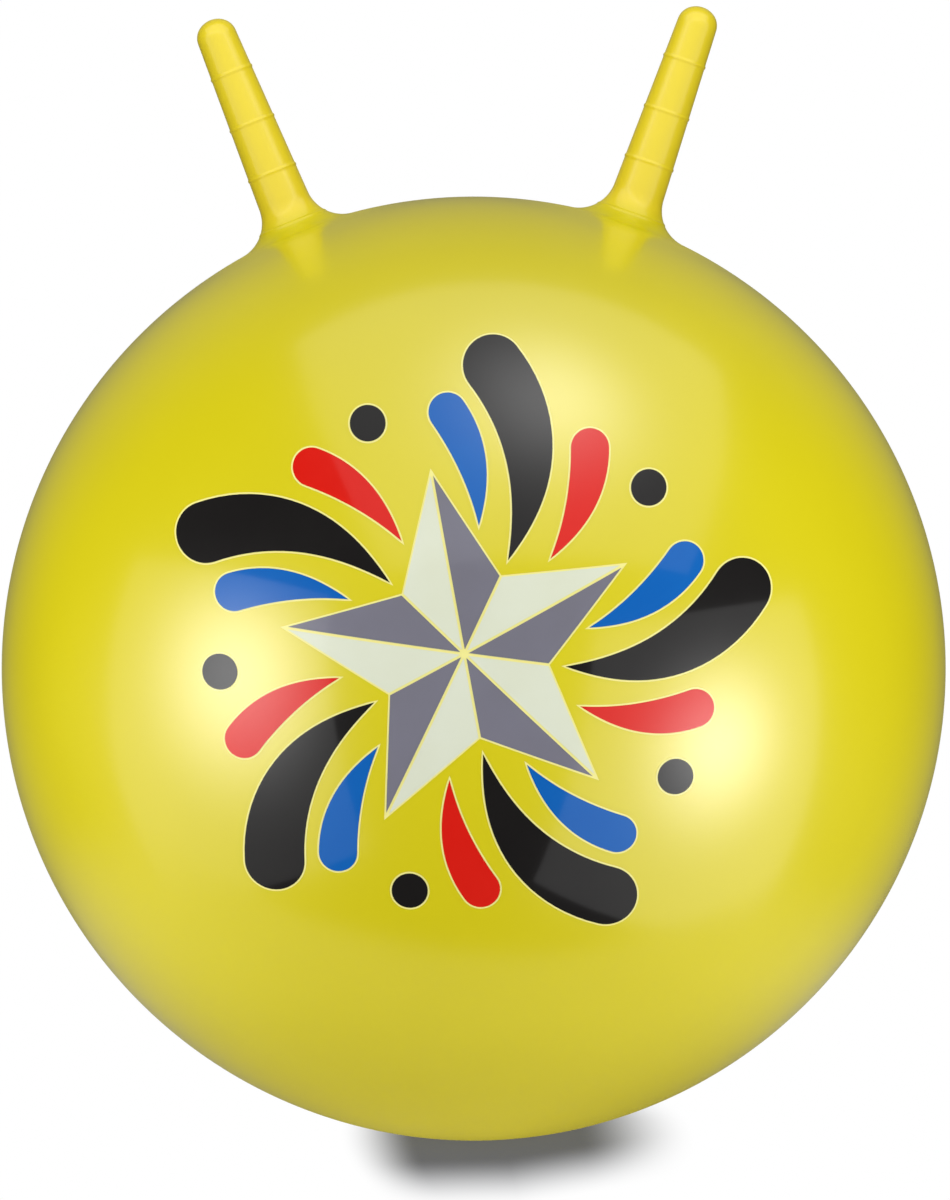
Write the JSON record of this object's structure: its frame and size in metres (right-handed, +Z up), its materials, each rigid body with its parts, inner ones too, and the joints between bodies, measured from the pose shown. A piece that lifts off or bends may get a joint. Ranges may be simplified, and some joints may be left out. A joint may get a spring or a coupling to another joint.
{
  "type": "hopper ball",
  "caption": "Inflated hopper ball for a child to sit and bounce on, with ringed grip horns on top, a printed front and a plugged air valve at the back.",
  "frame": {"origin": "middle of the flat patch on which the ball stands, on the floor", "axes": "+Z up between the horns, the print faces -Y, the valve is at the back on +Y, the horns lean out along -X and +X"},
  "size_m": [0.4499, 0.4502, 0.5354],
  "materials": {
    "skin": "gloss",
    "horn": "satin",
    "plug": "satin",
    "ink_white": "gloss",
    "ink_grey": "gloss",
    "ink_blue": "gloss",
    "ink_red": "gloss",
    "ink_black": "gloss"
  },
  "bodies": {
    "ball": {"ball_skin": "skin", "left_horn": "horn", "right_horn": "horn", "valve_seat": "skin", "print_white": "ink_white", "print_grey": "ink_grey", "print_blue": "ink_blue", "print_red": "ink_red", "print_black": "ink_black"},
    "plug": {"valve_plug": "plug"}
  },
  "joints": [
    {"name": "plug_pull", "type": "slide", "parent": "ball", "child": "plug", "axis": [0, 0.9659, 0.2588], "range_m": [0, 0.025]}
  ]
}
